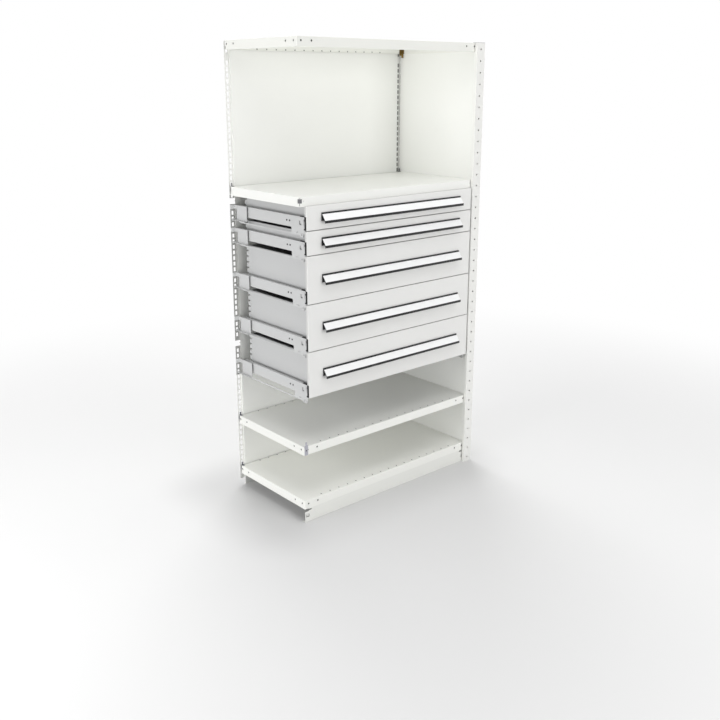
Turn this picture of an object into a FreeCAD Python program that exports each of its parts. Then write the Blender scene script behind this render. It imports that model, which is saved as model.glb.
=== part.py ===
import FreeCAD, Part
import os

from FreeCAD import Vector

os.makedirs("parts", exist_ok=True)

# Millimetres. X runs along the bay from its open left end, Y from the front plane of the
# shelves to the back, Z up from the floor. The finished model is moved at the end so that
# its origin is the middle of its base.

# Bay and shelves
cabinet_height = 2000.0
bay_length = 1000.0
shelf_depth = 488.0
shelf_thickness = 38.0
shelf_sheet = 1.2
shelf_bend_radius = 2.0
shelf_lip = 12.0
shelf_front_edge_width = 22.0
shelf_edge_width = 10.0
shelf_edge_end = 28.0
bottom_shelf_top = 100.0
lower_shelf_top = 350.0
work_shelf_top = 1400.0

# Holes in the perforated shelves
shelf_hole_diameter = 8.0
flange_hole_drop = 15.5
flange_hole_spacing = 50.0
front_flange_hole_inset = 20.0
side_hole_front_inset = 20.0
side_hole_rear_inset = 8.0
surface_hole_diameter = 7.5
surface_hole_pitch = 50.0
surface_hole_end_inset = 100.0
surface_row_front_inset = 15.0
surface_row_rear_inset = 6.0
rear_hole_diameter = 6.0
rear_hole_drop = 33.0
rear_hole_end_inset = 150.0

# Open front corners of the work shelf, which show the clip inside
corner_seam = 2.6
corner_seam_top_drop = 2.0
corner_window_front = 12.0
corner_window_side = 14.0
corner_window_top_drop = 7.0
corner_window_height = 17.0

# Posts of the right side frame
post_width = 50.0
post_overlap = 18.0
post_front_reach = 16.0
post_sheet = 2.0
post_return = 13.0
post_box_width = 28.0
post_box_depth = 30.0
post_box_gap = 8.0
post_hole_diameter = 8.0
post_hole_first = 22.5
post_hole_pitch = 50.0

# Post caps
cap_thickness = 3.0
cap_overhang = 1.0
cap_plug_depth = 12.0
cap_plug_clearance = 0.5

# Side panel
side_sheet = 1.0
side_flange = 20.0
side_rear_gap = 2.4

# Back panel of three sheets with slotted edge strips
back_sheet = 1.2
back_gap = 4.0
back_overhang = 1.0
back_drop = 2.0
back_lower_joint = 694.0
back_upper_joint = 1336.0
back_hem = 9.0
strip_width = 23.0
strip_setback = 7.0
strip_notch = 13.0
strip_foot_gap = 30.0
slot_width = 10.0
slot_height = 17.0
slot_pitch = 25.0
slot_first = 10.0
slot_edge_inset = 11.5

# Kick plate
kick_sheet = 1.2
kick_flange = 20.0
kick_bend_radius = 2.0
kick_notch_length = 20.0
kick_notch_depth = 13.0
kick_slit_length = 15.0
kick_slit_height = 6.0
kick_slit_drop = 3.0
kick_tab_x = 14.7
kick_tab_z = 29.0
kick_tab_width = 16.0
kick_tab_height = 14.0
kick_tab_slit = 4.5

# Drawer stack
drawer_stack_top = 1365.0
front_gap = 3.0
front_side_clearance = 23.0
front_face = -12.0
front_depth = 11.5
front_sheet = 1.2
front_edge_radius = 1.2
front_lip = 30.0
front_notch_height = 57.0
box_side_inset = 46.0
box_step_inset = 52.0
box_step_level = 60.0
box_sheet = 1.2
box_rear_gap = 36.0
box_hem = 8.0
box_tail = 16.0
box_tail_gap = 7.0
box_tail_pitch = 25.0
box_tail_first = 19.0
low_drawer = {"height": 100.0, "headroom": 9.0, "handle_drop": 29.5}
tall_drawer = {"height": 200.0, "headroom": 18.0, "handle_drop": 80.0}
drawers = [low_drawer, low_drawer, tall_drawer, tall_drawer, tall_drawer]

# Handle profile, measured out from the front and down from its top edge
handle_length = 804.0
handle_reach = 25.0
handle_leg = 34.0
handle_leg_wall = 2.5
handle_top_depth = 5.0
handle_top_lip = 4.5
handle_web = 3.0
handle_slope_end = 31.0
handle_height = 41.5
label_thickness = 1.0
label_end_inset = 0.5

# Fixed slide rails, heights counted from the bottom line of their drawer
rail_web_inset = 26.0
rail_sheet = 1.5
rail_front = 4.0
rail_rear_gap = 18.0
rail_top = 54.0
rail_bottom = -21.0
rail_top_flange = 14.0
rail_flange_front = 38.0
rail_track_level = 10.5
rail_track_width = 12.0
rail_window_front = 92.0
rail_window_rear_gap = 30.0
rail_window_low = -16.0
rail_window_high = 8.0
rail_window_radius = 5.0
rail_hole_diameter = 6.0
rail_hole_level = 31.5
rail_hole_ys = (103.0, 122.0)
rail_slot_front = 26.0
rail_slot_rear = 38.0
rail_slot_low = 22.0
rail_slot_high = 38.0
rail_slot_width = 4.5
rail_scallop_level = 41.0
rail_scallop_radius = 5.0
rail_boss_front = 10.0
rail_boss_length = 14.0
rail_boss_low = 22.0
rail_boss_height = 26.0
rail_boss_depth = 1.5
rail_boss_radius = 1.2
rail_tab_front = 50.0
rail_tab_length = 12.0
rail_tab_top = -7.0
rail_tab_drop = 5.0
rail_tab_reach = 5.0
stop_lug_front = 8.0
stop_lug_length = 18.0
stop_lug_top = -11.0
stop_lug_drop = 13.0
stop_lug_reach = 6.0
stop_lug_hole = 4.5

# Rear bracket of a fixed rail and its two hooks in the slotted strip
bracket_inset = 18.0
bracket_sheet = 2.0
bracket_length = 77.0
bracket_rear_gap = 22.0
bracket_bottom = -9.5
bracket_top = 55.0
bracket_foot_flange = 13.0
bracket_spacer_diameter = 12.0
bracket_spacer_level = 28.0
bracket_spacer_insets = (25.0, 55.0)
hook_sheet = 2.0
hook_clearance = 0.8
hook_plate_low = 38.0
hook_plate_high = 55.0
hook_slots_up = 45.0
hook_slots_down = -5.0
hook_low_height = 8.0

# Front tab of a right-hand rail, which meets the post
post_tab_low = 10.0
post_tab_high = 45.0
post_tab_sheet = 2.0

# Middle slide members
member_inset = 31.5
member_sheet = 1.5
member_low = 14.0
member_high = 46.5
member_flange_out = 1.5
member_flange_in = 4.0
member_front = 8.0
member_rear_gap = 22.0
member_roller_clearance = 0.4
track_roller_radius = 14.0
track_roller_width = 3.3
track_roller_inset = 26.0
runner_roller_width = 9.0
runner_roller_y = 30.0
roller_pin_diameter = 8.0

# Runner welded to each drawer wall
runner_low = 14.5
runner_high = 45.5
runner_depth = 13.8
runner_sheet = 1.5
runner_front = 4.0

# Shelf clips
clip_sheet = 2.0
clip_inset = 3.0
clip_width = 5.0
clip_tongue_clearance = 0.8
clip_foot_width = 10.0
clip_foot_length = 8.0
clip_drop = 24.0
clip_rise = 16.0
top_clip_width = 15.0
top_clip_low = 37.0
top_clip_high = 10.0
top_clip_tongue = 5.0
corner_angle_width = 24.0
corner_angle_length = 12.0
corner_angle_high = 10.0
corner_angle_foot = 34.0
corner_angle_low = 55.0
corner_angle_step = 45.0
corner_angle_notch = 12.0
post_clip_inset = 2.0
post_clip_spacer_width = 8.0
post_clip_spacer_drop = 10.0
post_clip_spacer_height = 20.0
front_clip_inset = 2.8
front_clip_width = 17.0
front_clip_rise = 6.0
front_clip_tongue_width = 8.0
front_clip_tongue_rise = 20.0
corner_clip_size = 18.0
corner_clip_height = 27.0
lug_height = 20.0
lug_width = 19.0
lug_sheet = 1.2
lug_drop = 65.0
lug_tab_reach = 2.0
lug_tab_height = 8.0

# Places worked out from the values above
post_left = bay_length - post_overlap
post_right = post_left + post_width
post_box_left = post_right - post_box_width
post_front = -post_front_reach
post_rear = shelf_depth + post_front_reach
back_face = shelf_depth + back_gap
back_top = cabinet_height - back_drop
strip_face = back_face + strip_setback
post_flange_face = post_rear - post_sheet
box_rear = shelf_depth - box_rear_gap
rail_rear = shelf_depth - rail_rear_gap
rail_window_rear = rail_rear - rail_window_rear_gap
bracket_rear = strip_face - bracket_rear_gap
bracket_front = bracket_rear - bracket_length
member_rear = shelf_depth - member_rear_gap
track_roller_y = member_rear - track_roller_inset
bay_middle = bay_length / 2.0
kick_height = bottom_shelf_top - shelf_thickness
cut_margin = 1.0


def block(x0, x1, y0, y1, z0, z1):
    """Box between two corners."""
    return Part.makeBox(x1 - x0, y1 - y0, z1 - z0, Vector(x0, y0, z0))


def rod(diameter, x, y, z, length, direction):
    """Round bar or drill that starts at a point."""
    return Part.makeCylinder(diameter / 2.0, length, Vector(x, y, z), direction)


def joined(pieces):
    """One solid from pieces that touch or overlap."""
    shape = pieces[0].fuse(pieces[1:])
    return shape.removeSplitter()


def mirrored(shape):
    """The same piece on the other side of the bay."""
    return shape.mirror(Vector(bay_middle, 0, 0), Vector(1, 0, 0))


def steps(first, last, pitch):
    """Positions from first on, as long as they don't pass last."""
    count = int((last - first) / pitch + 0.001) + 1
    return [first + pitch * i for i in range(count)]


def is_vertical(edge):
    low = edge.BoundBox
    return low.ZLength > max(low.XLength, low.YLength)


def rounded_box(x0, x1, y0, y1, z0, z1, radius):
    """Box with its upright corners and its top edges bent to a radius."""
    box = block(x0, x1, y0, y1, z0, z1)
    bent = [e for e in box.Edges if is_vertical(e) or e.BoundBox.ZMin > z1 - radius]
    return box.makeFillet(radius, bent)


def shelf_shell(top):
    """Folded tray with flanges down all round and lips under the long flanges."""
    low = top - shelf_thickness
    sheet = shelf_sheet
    outer = rounded_box(0, bay_length, 0, shelf_depth, low, top, shelf_bend_radius)
    inner = rounded_box(sheet, bay_length - sheet, sheet, shelf_depth - sheet,
                        low - cut_margin, top - sheet, shelf_bend_radius - sheet)
    end = shelf_bend_radius + sheet
    front_lip_bar = block(end, bay_length - end, sheet / 2.0, shelf_lip, low, low + sheet)
    rear_lip_bar = block(end, bay_length - end, shelf_depth - shelf_lip,
                         shelf_depth - sheet / 2.0, low, low + sheet)
    return joined([outer.cut(inner), front_lip_bar, rear_lip_bar])


def edge_returns(top):
    """Inner returns that close the folded edges of a perforated shelf to box sections."""
    low = top - shelf_thickness
    high = top - shelf_sheet / 2.0
    sheet = shelf_sheet
    end = shelf_bend_radius + sheet
    wide = shelf_front_edge_width
    narrow = shelf_edge_width
    side_end = shelf_depth - shelf_edge_end
    front = block(end, bay_length - end, wide - sheet, wide, low, high)
    front_lip_bar = block(end, bay_length - end, sheet / 2.0, wide, low, low + sheet)
    rear = block(end, bay_length - end, shelf_depth - narrow, shelf_depth - narrow + sheet, low, high)
    left = block(narrow - sheet, narrow, wide, side_end, low, high)
    left_lip = block(sheet / 2.0, narrow, end, side_end, low, low + sheet)
    return [front, front_lip_bar, rear, left, left_lip, mirrored(left), mirrored(left_lip)]


def flange_drills(top):
    """Drills for the bolt holes in the front and side flanges."""
    level = top - flange_hole_drop
    depth = 2.0 * cut_margin + shelf_sheet
    near = front_flange_hole_inset
    far = bay_length - front_flange_hole_inset
    drills = []
    for x in (near, near + flange_hole_spacing, far - flange_hole_spacing, far):
        drills.append(rod(shelf_hole_diameter, x, -cut_margin, level, depth, Vector(0, 1, 0)))
    front = side_hole_front_inset
    rear = shelf_depth - side_hole_rear_inset
    for y in (front, front + flange_hole_spacing, rear - flange_hole_spacing, rear):
        for x in (-cut_margin, bay_length - shelf_sheet - cut_margin):
            drills.append(rod(shelf_hole_diameter, x, y, level, depth, Vector(1, 0, 0)))
    return drills


def surface_drills(top):
    """Drills for the two divider rows in the surface and the row through the rear edge."""
    depth = 2.0 * cut_margin + shelf_sheet
    level = top - shelf_sheet - cut_margin
    drills = []
    for x in steps(surface_hole_end_inset, bay_length - surface_hole_end_inset, surface_hole_pitch):
        for y in (surface_row_front_inset, shelf_depth - surface_row_rear_inset):
            drills.append(rod(surface_hole_diameter, x, y, level, depth, Vector(0, 0, 1)))
    rear = shelf_depth - shelf_edge_width - cut_margin
    depth = 2.0 * cut_margin + shelf_edge_width
    for x in steps(rear_hole_end_inset, bay_length - rear_hole_end_inset, surface_hole_pitch):
        drills.append(rod(rear_hole_diameter, x, rear, top - rear_hole_drop, depth, Vector(0, 1, 0)))
    return drills


def perforated_shelf(top):
    tray = joined([shelf_shell(top)] + edge_returns(top))
    return tray.cut(flange_drills(top) + surface_drills(top))


def work_shelf():
    """Plain worktop whose front corners stand open."""
    top = work_shelf_top
    low = top - shelf_thickness - cut_margin
    high = top - corner_window_top_drop
    seam = block(-cut_margin, corner_seam, -cut_margin, corner_seam, low,
                 top - corner_seam_top_drop)
    window_low = high - corner_window_height
    front_window = block(0, corner_window_front, -cut_margin, corner_seam, window_low, high)
    side_window = block(-cut_margin, corner_seam, 0, corner_window_side, window_low, high)
    dot_x = front_flange_hole_inset
    dot = rod(shelf_hole_diameter / 2.0, dot_x, -cut_margin, top - flange_hole_drop,
              2.0 * cut_margin + shelf_sheet, Vector(0, 1, 0))
    cuts = [seam, front_window, side_window, dot]
    return shelf_shell(top).cut(cuts + [mirrored(c) for c in cuts])


def post_section(height):
    """Open folded section of the front post."""
    sheet = post_sheet
    face = block(post_left, post_right, post_front, post_front + sheet, 0, height)
    inner_return = block(post_left, post_left + sheet, post_front, post_front + post_return, 0, height)
    box_rear_face = post_front + post_box_depth
    outer_side = block(post_right - sheet, post_right, post_front, box_rear_face, 0, height)
    back_lip = block(post_box_left, post_right, box_rear_face - sheet, box_rear_face, 0, height)
    inner_side = block(post_box_left, post_box_left + sheet,
                       post_front + sheet + post_box_gap, box_rear_face, 0, height)
    return face, inner_return, outer_side, back_lip, inner_side


def post_drills():
    """Drills for the hole row down the middle of the post face."""
    levels = steps(post_hole_first, cabinet_height - post_hole_first - cut_margin, post_hole_pitch)
    middle = post_left + post_width / 2.0
    depth = post_sheet + 2.0 * cut_margin
    start = post_front - cut_margin
    return [rod(post_hole_diameter, middle, start, z, depth, Vector(0, 1, 0)) for z in levels]


def front_post():
    pieces = list(post_section(cabinet_height))
    return joined(pieces).cut(post_drills())


def to_rear(shape):
    """The same piece turned to the back of the bay."""
    return shape.mirror(Vector(0, shelf_depth / 2.0, 0), Vector(0, 1, 0))


def rear_post():
    """The front section without its inner return, so that the back panel lies on its flange."""
    face, inner_return, outer_side, back_lip, inner_side = post_section(cabinet_height)
    section = joined([face, outer_side, back_lip, inner_side]).cut(post_drills())
    return to_rear(section)


def post_cap():
    """Cover plate with a plug that stands in the closed part of the post."""
    over = cap_overhang
    box_rear_face = post_front + post_box_depth
    plate = block(post_left - over, post_right + over, post_front - over, box_rear_face + over,
                  cabinet_height, cabinet_height + cap_thickness)
    play = cap_plug_clearance
    plug = block(post_box_left + post_sheet + play, post_right - post_sheet - play,
                 post_front + post_sheet + play, box_rear_face - post_sheet - play,
                 cabinet_height - cap_plug_depth, cabinet_height)
    return joined([plate, plug])


def side_panel():
    """Sheet between the posts with two flanges against them, its tail reaching the back strip."""
    front = post_front + post_box_depth
    rear = shelf_depth - front
    face = block(bay_length, bay_length + side_sheet, front, strip_face - side_rear_gap, 0,
                 cabinet_height)
    flange_end = bay_length + side_sheet + side_flange
    front_flange = block(bay_length, flange_end, front, front + side_sheet, 0, cabinet_height)
    rear_flange = block(bay_length, flange_end, rear - side_sheet, rear, 0, cabinet_height)
    return joined([face, front_flange, rear_flange])


def slot_cutters(low, high):
    """Cutters for the left slot row between two levels."""
    centre = slot_edge_inset - back_overhang
    cutters = []
    level = slot_first
    while level + slot_height / 2.0 < high:
        if level - slot_height / 2.0 > low:
            cutters.append(block(centre - slot_width / 2.0, centre + slot_width / 2.0,
                                 strip_face - cut_margin, strip_face + back_sheet + cut_margin,
                                 level - slot_height / 2.0, level + slot_height / 2.0))
        level += slot_pitch
    return cutters


def back_sheet_between(low, high, strip_low, strip_high):
    """One sheet of the back: main face, hems at its ends and a stepped strip at each side."""
    fold = strip_width - back_overhang
    face = block(fold, bay_length - fold, back_face, back_face + back_sheet, low, high)
    hem_rear = back_face + back_sheet + back_hem
    low_hem = block(fold, bay_length - fold, back_face, hem_rear, low, low + back_sheet)
    high_hem = block(fold, bay_length - fold, back_face, hem_rear, high - back_sheet, high)
    strip_rear = strip_face + back_sheet
    step = block(fold, fold + back_sheet, back_face, strip_rear, strip_low, strip_high)
    strip = block(-back_overhang, fold + back_sheet, strip_face, strip_rear, strip_low, strip_high)
    edge = joined([step, strip]).cut(slot_cutters(strip_low, strip_high))
    return joined([face, low_hem, high_hem, edge, mirrored(edge)])


def kick_plate():
    """Channel under the bottom shelf, notched and slit at its ends, with lanced tabs."""
    sheet = kick_sheet
    end = post_box_left
    face = block(0, end, 0, sheet, 0, kick_height)
    top_flange = block(kick_notch_length, bay_length, 0, kick_flange, kick_height - sheet, kick_height)
    foot_flange = block(0, bay_length, 0, kick_flange, 0, sheet)
    plate = joined([face, top_flange, foot_flange])
    fold = [e for e in plate.Edges if e.BoundBox.YMax < sheet / 2.0 and e.BoundBox.ZMax < sheet / 2.0]
    plate = plate.makeFillet(kick_bend_radius, fold)
    reach = kick_flange + cut_margin
    notch = block(-cut_margin, kick_notch_length, -cut_margin, reach,
                  kick_height - kick_notch_depth, kick_height + cut_margin)
    slit_top = kick_height - kick_slit_drop
    slit = block(kick_notch_length - cut_margin, kick_notch_length + kick_slit_length,
                 -cut_margin, sheet + cut_margin, slit_top - kick_slit_height, slit_top)
    left = kick_tab_x - kick_tab_width / 2.0
    right = kick_tab_x + kick_tab_width / 2.0
    low = kick_tab_z - kick_tab_height / 2.0
    high = kick_tab_z + kick_tab_height / 2.0
    lance = [block(left, left + kick_tab_slit, -cut_margin, sheet + cut_margin, low, high),
             block(right - kick_tab_slit, right, -cut_margin, sheet + cut_margin, low, high),
             block(left, right, -cut_margin, sheet + cut_margin, low, low + kick_tab_slit)]
    cuts = [slit] + lance
    return plate.cut([notch] + cuts + [mirrored(c) for c in cuts])


def drawer_levels():
    """Bottom and top line of each drawer, from the top of the stack down."""
    levels = []
    top = drawer_stack_top
    for drawer in drawers:
        bottom = top - drawer["height"]
        levels.append((bottom, top))
        top = bottom
    return levels


def drawer_front(bottom, top):
    """Shallow pan with rounded outer edges and lips that take the drawer box."""
    left = front_side_clearance
    right = bay_length - front_side_clearance
    low = bottom + front_gap / 2.0
    high = top - front_gap / 2.0
    rear = front_face + front_depth
    box = block(left, right, front_face, rear, low, high)
    seen = [e for e in box.Edges if e.BoundBox.YMax < rear - front_edge_radius]
    outer = box.makeFillet(front_edge_radius, seen)
    sheet = front_sheet
    inner = block(left + sheet, right - sheet, front_face + sheet, rear - sheet,
                  low + sheet, high - sheet)
    rear_opening = block(left + front_lip, right - front_lip, rear - sheet - cut_margin,
                         rear + cut_margin, low + shelf_lip, high - shelf_lip)
    notch = block(left - cut_margin, left + sheet, front_face + sheet, rear + cut_margin,
                  low + sheet, bottom + front_notch_height)
    return outer.cut([inner, rear_opening, notch, mirrored(notch)])


def drawer_box(bottom, top, headroom):
    """Open box whose walls step in beside the slides, with the runner welded in each recess.
    The walls run past the rear wall as a notched tail."""
    sheet = box_sheet
    left = box_side_inset
    right = bay_length - box_side_inset
    step = box_step_inset
    front = front_face + front_depth
    back_wall = box_rear - box_tail
    high = top - headroom
    level = bottom + box_step_level
    lower = block(step, bay_length - step, front, box_rear, bottom, level)
    upper = block(left, right, front, box_rear, level, high)
    lower_room = block(step + sheet, bay_length - step - sheet, front + sheet, back_wall - sheet,
                       bottom + sheet, level + sheet + cut_margin)
    upper_room = block(left + sheet, right - sheet, front + sheet, back_wall - sheet,
                       level + sheet, high + cut_margin)
    lower_tail = block(step + sheet, bay_length - step - sheet, back_wall, box_rear + cut_margin,
                       bottom - cut_margin, level + sheet + cut_margin)
    upper_tail = block(left + sheet, right - sheet, back_wall, box_rear + cut_margin,
                       level + sheet, high + cut_margin)
    hem = block(left, left + box_hem, front, box_rear, high - sheet, high)
    web = block(step - runner_sheet, step, runner_front, box_rear, bottom + runner_low,
                bottom + runner_high)
    runner_out = step - runner_depth
    low_flange = block(runner_out, step, runner_front, box_rear, bottom + runner_low,
                       bottom + runner_low + runner_sheet)
    high_flange = block(runner_out, step, runner_front, box_rear,
                        bottom + runner_high - runner_sheet, bottom + runner_high)
    side = [hem, web, low_flange, high_flange]
    shell = joined([lower, upper]).cut([lower_room, upper_room, lower_tail, upper_tail])
    gaps = []
    for z in steps(level + box_tail_first, high - box_tail_gap, box_tail_pitch):
        gaps.append(block(left - cut_margin, left + box_hem + cut_margin, back_wall + sheet,
                          box_rear + cut_margin, z, z + box_tail_gap))
    box = joined([shell] + side + [mirrored(s) for s in side])
    return box.cut(gaps + [mirrored(g) for g in gaps])


def handle_profile(points, top, x0, length):
    """Solid along X from points given as reach from the front and drop from the top edge."""
    corners = [Vector(x0, front_face - reach, top - drop) for reach, drop in points]
    wire = Part.makePolygon(corners + [corners[0]])
    return Part.Face(wire).extrude(Vector(length, 0, 0))


def slope_point(share, inward):
    """Point on the handle's sloping face, share of the way down and a distance inside it."""
    run = handle_reach - handle_top_depth
    fall = handle_slope_end - handle_top_lip
    length = (run ** 2 + fall ** 2) ** 0.5
    reach = handle_top_depth + run * share - inward * fall / length
    drop = handle_top_lip + fall * share + inward * run / length
    return reach, drop


def handle(top):
    """Pull with a leg on the front, a sloping web and a straight grip band."""
    web_in = slope_point(1.0, label_thickness + handle_web)[0]
    band_in = handle_reach - handle_web
    run_in = slope_point(0.0, label_thickness + handle_web)
    fall_rate = (handle_slope_end - handle_top_lip) / (handle_reach - handle_top_depth)
    inner_top = run_in[1] + (handle_leg_wall - run_in[0]) * fall_rate
    inner_end = slope_point(1.0, label_thickness + handle_web)[1] + (band_in - web_in) * fall_rate
    points = [(0, 0), (handle_top_depth, 0), (handle_top_depth, handle_top_lip),
              slope_point(0.0, label_thickness), slope_point(1.0, label_thickness),
              (handle_reach, handle_slope_end), (handle_reach, handle_height),
              (band_in, handle_height), (band_in, inner_end), (handle_leg_wall, inner_top),
              (handle_leg_wall, handle_leg), (0, handle_leg)]
    return handle_profile(points, top, bay_middle - handle_length / 2.0, handle_length)


def label_strip(top):
    """Thin strip that fills the recess in the handle's slope."""
    points = [slope_point(0.0, 0.0), slope_point(1.0, 0.0),
              slope_point(1.0, label_thickness), slope_point(0.0, label_thickness)]
    length = handle_length - 2.0 * label_end_inset
    return handle_profile(points, top, bay_middle - length / 2.0, length)


def sloped_lug(web_out, y0, length, top, drop, reach):
    """Lug pressed out of a web: its outer face slopes outwards on the way down."""
    corners = [Vector(web_out, y0, top), Vector(web_out, y0, top - drop),
               Vector(web_out - reach, y0, top - drop), Vector(web_out - reach, y0, top - reach)]
    wire = Part.makePolygon(corners + [corners[0]])
    return Part.Face(wire).extrude(Vector(0, length, 0))


def rail_body(bottom):
    """Left fixed rail: web with its window, top flange, roller track, boss and lugs."""
    web_out = rail_web_inset
    web_in = web_out + rail_sheet
    top = bottom + rail_top
    track = bottom + rail_track_level
    web = block(web_out, web_in, rail_front, rail_rear, bottom + rail_bottom, top)
    top_flange = block(web_out, web_out + rail_top_flange, rail_flange_front, rail_rear,
                       top - rail_sheet, top)
    roller_track = block(web_out, web_out + rail_track_width, rail_flange_front, rail_rear,
                         track - rail_sheet, track)
    boss = block(web_out - rail_boss_depth, web_out, rail_boss_front,
                 rail_boss_front + rail_boss_length, bottom + rail_boss_low,
                 bottom + rail_boss_low + rail_boss_height)
    outer = [e for e in boss.Edges if e.BoundBox.XMax < web_out - rail_boss_depth / 2.0]
    boss = boss.makeFillet(rail_boss_radius, outer)
    tab = sloped_lug(web_out, rail_tab_front, rail_tab_length, bottom + rail_tab_top,
                     rail_tab_drop, rail_tab_reach)
    lug = sloped_lug(web_out, stop_lug_front, stop_lug_length, bottom + stop_lug_top,
                     stop_lug_drop, stop_lug_reach)
    lug_hole = rod(stop_lug_hole, web_out - stop_lug_reach - cut_margin,
                   stop_lug_front + stop_lug_length / 2.0,
                   bottom + stop_lug_top - stop_lug_drop / 2.0,
                   stop_lug_reach + rail_sheet + 2.0 * cut_margin, Vector(1, 0, 0))
    body = joined([web, top_flange, roller_track, boss, tab, lug])
    return body.cut([lug_hole] + rail_cuts(bottom))


def rail_cuts(bottom):
    """Window, holes, angled slot and front scallop in the web of a left rail."""
    x0 = rail_web_inset - cut_margin
    x1 = rail_web_inset + rail_sheet + cut_margin
    window = block(x0, x1, rail_window_front, rail_window_rear,
                   bottom + rail_window_low, bottom + rail_window_high)
    front = [e for e in window.Edges
             if e.BoundBox.YMax < rail_window_front + cut_margin and not is_vertical(e)]
    cuts = [window.makeFillet(rail_window_radius, front)]
    for y in rail_hole_ys:
        cuts.append(rod(rail_hole_diameter, x0, y, bottom + rail_hole_level, x1 - x0, Vector(1, 0, 0)))
    cuts.append(block(x0, x1, rail_slot_rear - rail_slot_width, rail_slot_rear,
                      bottom + rail_slot_low, bottom + rail_slot_high))
    cuts.append(block(x0, x1, rail_slot_front, rail_slot_rear,
                      bottom + rail_slot_low, bottom + rail_slot_low + rail_slot_width))
    cuts.append(rod(2.0 * rail_scallop_radius, x0, rail_front, bottom + rail_scallop_level,
                    x1 - x0, Vector(1, 0, 0)))
    return cuts


def rear_bracket(bottom):
    """Outer plate at the back of a left rail, spaced off its web, with an arm and a foot that hook
    into the strip."""
    plate_in = bracket_inset + bracket_sheet
    low = bottom + bracket_bottom
    plate = block(bracket_inset, plate_in, bracket_front, bracket_rear, low, bottom + bracket_top)
    arm = block(bracket_inset, plate_in, bracket_rear, strip_face, bottom + hook_plate_low,
                bottom + hook_plate_high)
    foot = block(bracket_inset - bracket_foot_flange, plate_in, bracket_front,
                 strip_face - hook_sheet, low, low + rail_sheet)
    pieces = [plate, arm, foot]
    for inset in bracket_spacer_insets:
        y = bracket_front + inset
        pieces.append(rod(bracket_spacer_diameter, plate_in, y, bottom + bracket_spacer_level,
                          rail_web_inset - plate_in, Vector(1, 0, 0)))
    plate_rear = strip_face
    plate_front = strip_face - hook_sheet
    pieces.append(block(-back_overhang, plate_in, plate_front, plate_rear,
                        bottom + hook_plate_low, bottom + hook_plate_high))
    slot_left = slot_edge_inset - back_overhang - slot_width / 2.0
    tongue_left = slot_left + hook_clearance
    tongue_right = slot_left + slot_width - hook_clearance
    half = slot_height / 2.0 - hook_clearance
    up = bottom + hook_slots_up
    pieces.append(block(tongue_left, tongue_right, plate_front, post_flange_face, up - half,
                        min(up + half, bottom + hook_plate_high)))
    down = bottom + hook_slots_down - half
    pieces.append(block(tongue_left, plate_in, plate_front, plate_rear, down, down + hook_low_height))
    pieces.append(block(tongue_left, tongue_right, plate_front, post_flange_face,
                        down, down + hook_low_height))
    return pieces


def fixed_rail(bottom, on_right):
    pieces = [rail_body(bottom)] + rear_bracket(bottom)
    if on_right:
        reach = post_box_left - bay_length
        tab = block(-reach, rail_web_inset + rail_sheet, rail_front, rail_front + post_tab_sheet,
                    bottom + post_tab_low, bottom + post_tab_high)
        cleared = block(rail_web_inset - cut_margin, rail_web_inset + rail_sheet + cut_margin,
                        rail_front - cut_margin, rail_front + post_tab_sheet,
                        bottom + post_tab_low, bottom + post_tab_high)
        pieces = [pieces[0].cut(cleared)] + pieces[1:] + [tab]
        return mirrored(joined(pieces))
    return joined(pieces)


def middle_member(bottom):
    """Left middle member: channel, rear roller on the track and front roller in the runner."""
    web_out = member_inset
    web_in = web_out + member_sheet
    low = bottom + member_low
    high = bottom + member_high
    flange_out = web_out - member_flange_out
    flange_in = web_in + member_flange_in
    web = block(web_out, web_in, member_front, member_rear, low, high)
    low_flange = block(flange_out, flange_in, member_front, member_rear, low, low + member_sheet)
    high_flange = block(flange_out, flange_in, member_front, member_rear, high - member_sheet, high)
    track_z = bottom + rail_track_level + member_roller_clearance + track_roller_radius
    track_roller = rod(2.0 * track_roller_radius, web_out - track_roller_width, track_roller_y,
                       track_z, track_roller_width, Vector(1, 0, 0))
    runner_room = runner_high - runner_low - 2.0 * runner_sheet
    runner_z = bottom + (runner_high + runner_low) / 2.0
    runner_x = box_step_inset - runner_sheet - runner_roller_width - member_roller_clearance
    runner_roller = rod(runner_room - 2.0 * member_roller_clearance, runner_x, runner_roller_y,
                        runner_z, runner_roller_width, Vector(1, 0, 0))
    pin = rod(roller_pin_diameter, web_in, runner_roller_y, runner_z, runner_x - web_in,
              Vector(1, 0, 0))
    return joined([web, low_flange, high_flange, track_roller, pin, runner_roller])


def slot_tongue(low, high):
    """Tongue from the rear of a shelf through a slot of the left strip."""
    play = clip_tongue_clearance
    slot_left = slot_edge_inset - back_overhang - slot_width / 2.0
    return block(slot_left + play, slot_left + slot_width - play, shelf_depth,
                 post_flange_face, low, high)


def rear_clip(top):
    """Left rear clip: narrow upright behind the shelf, foot on its surface, low tongue."""
    left = clip_inset
    rear = shelf_depth + clip_sheet
    upright = block(left, left + clip_width, shelf_depth, rear, top - clip_drop, top + clip_rise)
    foot = block(left, left + clip_foot_width, shelf_depth - clip_foot_length, rear,
                 top, top + clip_sheet)
    level = top + slot_first - slot_pitch
    half = slot_height / 2.0 - clip_tongue_clearance
    return joined([upright, foot, slot_tongue(level - half, level + half)])


def top_rear_clip():
    """Left rear clip of the top shelf, hidden behind its flange."""
    low = cabinet_height - top_clip_low
    plate = block(clip_inset, clip_inset + top_clip_width, shelf_depth, shelf_depth + clip_sheet,
                  low, cabinet_height - top_clip_high)
    return joined([plate, slot_tongue(low, low + top_clip_tongue)])


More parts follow.
